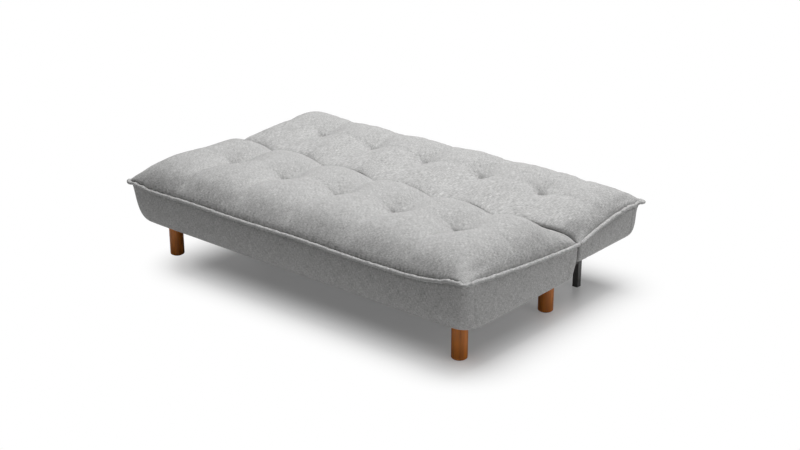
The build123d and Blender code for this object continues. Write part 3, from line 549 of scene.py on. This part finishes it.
def make_piping(section):
    """The corded edge: an egg-shaped profile carried along the outer edge and both ends.

    Its tail lies in the seam, and its size and place vary with the gathers, most at the corners.
    """
    end_n = np.linspace(section.depth + 0.004, 0, 260)
    front_x = np.linspace(-HALF, HALF, 520)[1:-1]
    left = np.stack([-edge_x(section, end_n), np.maximum(end_n, edge_n(-HALF))], axis=-1)
    front = np.stack([front_x * edge_x(section, 0.0) / HALF, edge_n(front_x)], axis=-1)
    right = np.stack([edge_x(section, end_n[::-1]), np.maximum(end_n[::-1], edge_n(HALF))], axis=-1)
    plan = np.concatenate([left, front, right])
    step = np.linalg.norm(np.diff(plan, axis=0), axis=1)
    walked = np.concatenate([[0], np.cumsum(step)])
    u = np.linspace(0, walked[-1], CORD_STEPS)
    plan = np.stack([np.interp(u, walked, plan[:, 0]), np.interp(u, walked, plan[:, 1])], axis=-1)
    window = np.hanning(15)
    window /= window.sum()
    before, after = 2 * plan[0] - plan[7:0:-1], 2 * plan[-1] - plan[-2:-9:-1]
    longer = np.concatenate([before, plan, after])
    plan = np.stack([np.convolve(longer[:, k], window, "valid") for k in (0, 1)], axis=-1)
    z = seam_z(section, plan[:, 0], plan[:, 1])
    centre = np.concatenate([plan, z[:, None]], axis=1)
    tangent = np.gradient(centre, axis=0)
    tangent /= np.linalg.norm(tangent, axis=1, keepdims=True)
    outward = np.stack([tangent[:, 1], -tangent[:, 0], np.zeros_like(z)], axis=-1)
    outward /= np.linalg.norm(outward, axis=1, keepdims=True)
    upward = np.cross(outward, tangent)
    upward *= np.sign(upward[:, 2:3])
    corner = np.exp(-((HALF - np.abs(plan[:, 0])) / 0.10) ** 2 - (plan[:, 1] / 0.16) ** 2)
    bunch = 1 + 2.2 * corner
    size = CORD * (1 + 0.07 * gather(u * 1.6, 0.6) * bunch)
    size *= np.clip(np.minimum(u, u[-1] - u) / 0.010, 0.15, 1) ** 0.5
    centre = centre + outward * (CORD_OUT + 0.0008 * gather(u, 2.0) * bunch)[:, None]
    centre = centre + upward * (0.0009 * gather(u * 0.8, 4.0) * bunch)[:, None]
    angle = np.linspace(0, 2 * np.pi, CORD_SIDES, endpoint=False)[None, :]
    tail = 1 + 0.55 * np.clip(-np.cos(angle), 0, 1) ** 3
    reach = size[:, None] * tail
    ring = (
        centre[:, None, :]
        + outward[:, None, :] * (reach * np.cos(angle))[..., None]
        + upward[:, None, :] * (0.92 * reach * np.sin(angle))[..., None]
    )
    points = section.place(ring[..., 0], ring[..., 1], ring[..., 2])
    index = np.arange(points[..., 0].size).reshape(points.shape[:2])
    faces = grid_faces(np.concatenate([index, index[:, :1]], axis=1))
    caps = [index[0], index[-1, ::-1]]
    if section.sign < 0:
        faces = faces[:, ::-1]
        caps = [cap[::-1] for cap in caps]
    cloth_u = np.repeat(u[:, None], angle.size, axis=1)
    cloth_v = np.repeat(angle * 0.006, u.size, axis=0)
    uv = np.stack([cloth_u, cloth_v], axis=-1).reshape(-1, 2)
    name = f"{section.name}_piping_cord"
    cord = make_piece(name, points.reshape(-1, 3), faces, uv, piping_cloth, caps)
    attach(cord, section.body)
    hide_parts(f"{section.name}_piping")
    return cord


# Finishes


def new_group(name, inputs, outputs):
    """An empty shader node group with its named sockets."""
    group = bpy.data.node_groups.new(name, "ShaderNodeTree")
    for label, kind, value in inputs:
        socket = group.interface.new_socket(label, in_out="INPUT", socket_type=kind)
        if value is not None:
            socket.default_value = value
    for label, kind in outputs:
        group.interface.new_socket(label, in_out="OUTPUT", socket_type=kind)
    return group, group.nodes.new("NodeGroupInput"), group.nodes.new("NodeGroupOutput")


def add_node(tree, kind, **values):
    """A node with its settings; a number or text that names an input sets that input."""
    node = tree.nodes.new(kind)
    for label, value in values.items():
        if label in node.bl_rna.properties:
            setattr(node, label, value)
        else:
            node.inputs[label.replace("_", " ")].default_value = value
    return node


def add_math(tree, operation, first, second):
    """One arithmetic step between two sockets or numbers."""
    node = add_node(tree, "ShaderNodeMath", operation=operation)
    for slot, value in enumerate((first, second)):
        if isinstance(value, (int, float)):
            node.inputs[slot].default_value = value
        else:
            tree.links.new(value, node.inputs[slot])
    return node.outputs[0]


def add_blend(tree, first, first_share, second, second_share):
    """The sum of two sockets, each with its share."""
    first_part = add_math(tree, "MULTIPLY", first, first_share)
    return add_math(tree, "ADD", first_part, add_math(tree, "MULTIPLY", second, second_share))


def add_vector_step(tree, operation, vector, amount=(0, 0, 0)):
    """The sockets of one step of vector arithmetic."""
    node = add_node(tree, "ShaderNodeVectorMath", operation=operation)
    tree.links.new(vector, node.inputs[0])
    node.inputs[1].default_value = amount
    return node.outputs


def mix_shaders(tree, share, first, second, output):
    """A mix of two shaders at the tree's output."""
    mix = add_node(tree, "ShaderNodeMixShader")
    for slot, socket in enumerate((share, first, second)):
        tree.links.new(socket, mix.inputs[slot])
    tree.links.new(mix.outputs[0], tree.nodes[output].inputs["Surface"])


def stretched_noise(tree, vector, stretch, scale, detail=2.0):
    """Noise drawn out along one direction."""
    mapping = add_node(tree, "ShaderNodeMapping")
    mapping.inputs["Scale"].default_value = stretch
    tree.links.new(vector, mapping.inputs["Vector"])
    noise = add_node(tree, "ShaderNodeTexNoise", Scale=scale, Detail=detail)
    tree.links.new(mapping.outputs[0], noise.inputs["Vector"])
    return noise.outputs["Fac"]


def melange_group():
    """Melange cloth: mottled yarns in two directions, and the over and under of a plain weave."""
    group, entry, leave = new_group(
        "melange_weave",
        [("Vector", "NodeSocketVector", None), ("Thread", "NodeSocketFloat", 0.0017)],
        [("Shade", "NodeSocketFloat"), ("Height", "NodeSocketFloat")],
    )
    vector = entry.outputs["Vector"]
    warp = stretched_noise(group, vector, (74, 480, 1), 1.0, 2.0)
    weft = stretched_noise(group, vector, (480, 74, 1), 1.0, 2.0)
    cloud = stretched_noise(group, vector, (26, 26, 1), 1.0, 3.0)
    yarns = add_math(group, "ADD", warp, weft)
    shade = add_blend(group, yarns, 0.46, cloud, 0.12)
    split = add_node(group, "ShaderNodeSeparateXYZ")
    group.links.new(vector, split.inputs[0])
    turns = []
    for axis in ("X", "Y"):
        count = add_math(group, "DIVIDE", split.outputs[axis], entry.outputs["Thread"])
        turns.append(add_math(group, "SINE", add_math(group, "MULTIPLY", count, math.pi), 0.0))
    weave = add_math(group, "MULTIPLY", *turns)
    height = add_math(group, "ADD", add_math(group, "MULTIPLY", weave, 0.35), yarns)
    group.links.new(shade, leave.inputs["Shade"])
    group.links.new(height, leave.inputs["Height"])
    return group


def new_material(name):
    """A material with its Principled shader."""
    material = bpy.data.materials.new(name)
    material.use_nodes = True
    return material, material.node_tree, material.node_tree.nodes["Principled BSDF"]


def add_ramp(tree, factor, stops):
    """A colour ramp from (place, colour) stops."""
    ramp = add_node(tree, "ShaderNodeValToRGB")
    elements = ramp.color_ramp.elements
    for slot, (place, colour) in enumerate(stops):
        element = elements[slot] if slot < 2 else elements.new(place)
        element.position = place
        element.color = (*colour, 1)
    tree.links.new(factor, ramp.inputs["Fac"])
    return ramp.outputs["Color"]


def add_bump(tree, shader, height, distance, strength):
    """Relief that feeds the shader's normal."""
    bump = add_node(tree, "ShaderNodeBump", Distance=distance, Strength=strength)
    tree.links.new(height, bump.inputs["Height"])
    tree.links.new(bump.outputs["Normal"], shader.inputs["Normal"])


def melange_cloth(name, dark, light):
    """Light grey melange upholstery."""
    material, tree, shader = new_material(name)
    place = add_node(tree, "ShaderNodeUVMap", uv_map="cloth")
    weave = add_node(tree, "ShaderNodeGroup", node_tree=melange)
    tree.links.new(place.outputs["UV"], weave.inputs["Vector"])
    colour = add_ramp(tree, weave.outputs["Shade"], [(0.40, dark), (0.66, light)])
    tree.links.new(colour, shader.inputs["Base Color"])
    add_bump(tree, shader, weave.outputs["Height"], 0.0008, 0.35)
    shader.inputs["Roughness"].default_value = 0.92
    shader.inputs["Specular IOR Level"].default_value = 0.15
    shader.inputs["Sheen Weight"].default_value = 0.12
    shader.inputs["Sheen Roughness"].default_value = 0.5
    return material


def grain_group():
    """Wood: long wavy grain drawn out along Z or along a board, and fine pores."""
    group, entry, leave = new_group(
        "wood_grain",
        [("Vector", "NodeSocketVector", None)],
        [("Figure", "NodeSocketFloat"), ("Pores", "NodeSocketFloat")],
    )
    vector = entry.outputs["Vector"]
    figure = stretched_noise(group, vector, (42, 42, 3.2), 1.0, 5.0)
    pores = stretched_noise(group, vector, (420, 420, 22), 1.0, 2.0)
    group.links.new(figure, leave.inputs["Figure"])
    group.links.new(pores, leave.inputs["Pores"])
    return group


def stained_wood(name, dark, light, roughness, coat, turn):
    """Stained or sawn wood, with its grain turned to run along the piece."""
    material, tree, shader = new_material(name)
    place = add_node(tree, "ShaderNodeTexCoord")
    mapping = add_node(tree, "ShaderNodeMapping")
    mapping.inputs["Rotation"].default_value = turn
    tree.links.new(place.outputs["Object"], mapping.inputs["Vector"])
    grain_node = add_node(tree, "ShaderNodeGroup", node_tree=grain)
    tree.links.new(mapping.outputs[0], grain_node.inputs["Vector"])
    pores = grain_node.outputs["Pores"]
    mixed = add_blend(tree, grain_node.outputs["Figure"], 0.7, pores, 0.3)
    tree.links.new(add_ramp(tree, mixed, [(0.32, dark), (0.68, light)]), shader.inputs["Base Color"])
    rough = add_math(tree, "ADD", add_math(tree, "MULTIPLY", pores, 0.2), roughness - 0.1)
    tree.links.new(rough, shader.inputs["Roughness"])
    add_bump(tree, shader, pores, 0.0004, 0.3)
    shader.inputs["Coat Weight"].default_value = coat
    shader.inputs["Coat Roughness"].default_value = 0.3
    return material


def speckled(name, dark, light, size, roughness, relief, metal=0.0):
    """Paint, plating, plastic, foam or dust cloth: a fine speckle in colour, gloss and relief."""
    material, tree, shader = new_material(name)
    place = add_node(tree, "ShaderNodeTexCoord")
    fine = stretched_noise(tree, place.outputs["Object"], (1, 1, 1), 1.0 / size, 3.0)
    broad = stretched_noise(tree, place.outputs["Object"], (1, 1, 1), 9.0, 2.0)
    both = add_blend(tree, fine, 0.6, broad, 0.4)
    tree.links.new(add_ramp(tree, both, [(0.35, dark), (0.65, light)]), shader.inputs["Base Color"])
    rough = add_math(tree, "ADD", add_math(tree, "MULTIPLY", both, 0.2), roughness - 0.1)
    tree.links.new(rough, shader.inputs["Roughness"])
    shader.inputs["Metallic"].default_value = metal
    add_bump(tree, shader, fine, relief, 0.3)
    return material


melange = melange_group()
grain = grain_group()
upholstery = melange_cloth("upholstery_melange", (0.305, 0.303, 0.300), (0.67, 0.668, 0.662))
piping_cloth = melange_cloth("piping_melange", (0.305, 0.303, 0.300), (0.68, 0.678, 0.672))
leg_stain = stained_wood("leg_stain", (0.37, 0.098, 0.0065), (0.85, 0.26, 0.019), 0.42, 0.12, (0, 0, 0))
pine = ((0.42, 0.27, 0.14), (0.66, 0.48, 0.29), 0.75, 0.0)
pine_long = stained_wood("pine_across", *pine, (0, math.pi / 2, 0))
pine_deep = stained_wood("pine_fore_and_aft", *pine, (math.pi / 2, 0, 0))
steel_black = ((0.065, 0.065, 0.064), (0.125, 0.125, 0.123))
support_paint = speckled("support_paint", *steel_black, 0.0015, 0.42, 0.0002)
hinge_oxide = speckled("hinge_oxide", (0.03, 0.03, 0.033), (0.07, 0.07, 0.075), 0.002, 0.45, 0.0001, 0.6)
zinc = speckled("zinc_plate", (0.50, 0.51, 0.53), (0.72, 0.73, 0.74), 0.003, 0.35, 0.0001, 1.0)
glide_plastic = speckled("glide_plastic", (0.02, 0.02, 0.02), (0.04, 0.04, 0.04), 0.002, 0.5, 0.0002)
foam_wadding = speckled("foam_wadding", (0.36, 0.36, 0.355), (0.55, 0.55, 0.54), 0.002, 0.95, 0.0010)
dust_black = speckled("dust_cloth_black", (0.018, 0.018, 0.019), (0.05, 0.05, 0.052), 0.0025, 0.95, 0.0004)


def finish_of(name):
    """The finish of a carried-over node, by what it is."""
    if name.startswith("leg_") and name not in ("leg_bolts", "leg_glides"):
        return leg_stain
    if name.startswith("rear_support"):
        return support_paint
    if name.startswith(("hinge_seat_plate", "hinge_back_plate")):
        return hinge_oxide
    if name.startswith("pawl_") and not name.startswith("pawl_pin"):
        return hinge_oxide
    if name in ("leg_glides", "tube_plugs"):
        return glide_plastic
    if name.endswith("_foam"):
        return foam_wadding
    if name.endswith("_dust_cover"):
        return dust_black
    if name.endswith(("front_rail", "rear_rail")):
        return pine_long
    if name.startswith(("seat_", "back_")):
        return pine_deep
    return zinc


for node_name, node in nodes.items():
    node.data.materials.clear()
    node.data.materials.append(finish_of(node_name))

make_pad(seat, 220, 96)
make_pad(back, 220, 76)
for section in (seat, back):
    for side, count in (("outer", 220), ("fold", 160), ("left", 110), ("right", 110)):
        make_boxing(section, side, count)
    make_piping(section)

# Floor, light and camera


def make_floor():
    """A pale floor with painted light: to the camera it glows, lifting the bed's shadow near it by a share
    of 0.15 and fading to plain white further out, shifted to the right so the glow whitens the shadow at
    the left end.
    """
    mesh = bpy.data.meshes.new("floor")
    mesh.from_pydata([(-30, -30, 0), (30, -30, 0), (30, 30, 0), (-30, 30, 0)], [], [(0, 1, 2, 3)])
    floor = bpy.data.objects.new("floor", mesh)
    bpy.context.scene.collection.objects.link(floor)
    paint, tree, shader = new_material("studio_floor")
    shader.inputs["Base Color"].default_value = (0.80, 0.80, 0.80, 1)
    shader.inputs["Roughness"].default_value = 0.35
    shader.inputs["Specular IOR Level"].default_value = 0.25
    place = add_node(tree, "ShaderNodeTexCoord").outputs["Object"]
    # Painted light: the glow's rectangle is shifted to the right, so the shadow at the left end is painted
    # over in white.
    from_middle = add_vector_step(tree, "SUBTRACT", place, (0.10, 0.02, 0))["Vector"]
    beside = add_vector_step(tree, "ABSOLUTE", from_middle)["Vector"]
    past_shadow = add_vector_step(tree, "SUBTRACT", beside, (0.66, 0.42, 0))["Vector"]
    outside = add_vector_step(tree, "MAXIMUM", past_shadow)["Vector"]
    fade = add_node(tree, "ShaderNodeMapRange", interpolation_type="SMOOTHSTEP")
    fade.inputs["From Max"].default_value = 0.36
    # Painted light: a glow of 0.15 even right at the bed, which lightens its shadow.
    fade.inputs["To Min"].default_value = 0.15
    tree.links.new(add_vector_step(tree, "LENGTH", outside)["Value"], fade.inputs["Value"])
    to_camera = add_node(tree, "ShaderNodeLightPath").outputs["Is Camera Ray"]
    seen = add_math(tree, "MULTIPLY", fade.outputs["Result"], to_camera)
    painted_glow = add_node(tree, "ShaderNodeEmission")
    mix_shaders(tree, seen, shader.outputs[0], painted_glow.outputs[0], "Material Output")
    mesh.materials.append(paint)


def make_world():
    """A faint white surround that looks plain white to the camera and in reflections."""
    world = bpy.data.worlds.new("studio")
    bpy.context.scene.world = world
    world.use_nodes = True
    tree = world.node_tree
    sky = tree.nodes["Background"]
    sky.inputs["Color"].default_value = (1, 1, 1, 1)
    sky.inputs["Strength"].default_value = 0.05
    white = add_node(tree, "ShaderNodeBackground", Strength=1.0)
    white.inputs["Color"].default_value = (1, 1, 1, 1)
    path = add_node(tree, "ShaderNodeLightPath").outputs
    seen = add_math(tree, "MAXIMUM", path["Is Camera Ray"], path["Is Glossy Ray"])
    seen = add_math(tree, "MAXIMUM", seen, path["Is Transmission Ray"])
    mix_shaders(tree, seen, sky.outputs[0], white.outputs[0], "World Output")


def add_lamp(name, place, aim, size, power):
    """A square soft box that faces a point."""
    lamp = bpy.data.lights.new(name, "AREA")
    lamp.shape = "SQUARE"
    lamp.size = size
    lamp.energy = power
    holder = bpy.data.objects.new(name, lamp)
    bpy.context.scene.collection.objects.link(holder)
    toward = np.array(aim, float) - np.array(place, float)
    flat = math.hypot(toward[0], toward[1])
    holder.location = place
    holder.rotation_euler = (math.atan2(flat, -toward[2]), 0, math.atan2(-toward[0], toward[1]))


make_floor()
make_world()
add_lamp("overhead_box", (0.0, 0.85, 4.4), (0.0, 0.1, 0.3), 3.2, 224)
add_lamp("side_box", (3.4, 0.6, 1.5), (0.3, 0.0, 0.3), 1.6, 12)

camera_data = bpy.data.cameras.new("camera")
camera_data.sensor_width = 36
camera_data.lens = 56.925
camera = bpy.data.objects.new("camera", camera_data)
camera.location = (3.3525, -3.7840, 2.0926)
camera.rotation_euler = (math.radians(90 - 20.52), 0, math.radians(40.53))
bpy.context.scene.collection.objects.link(camera)
bpy.context.scene.camera = camera
bpy.context.scene.view_settings.view_transform = "Standard"
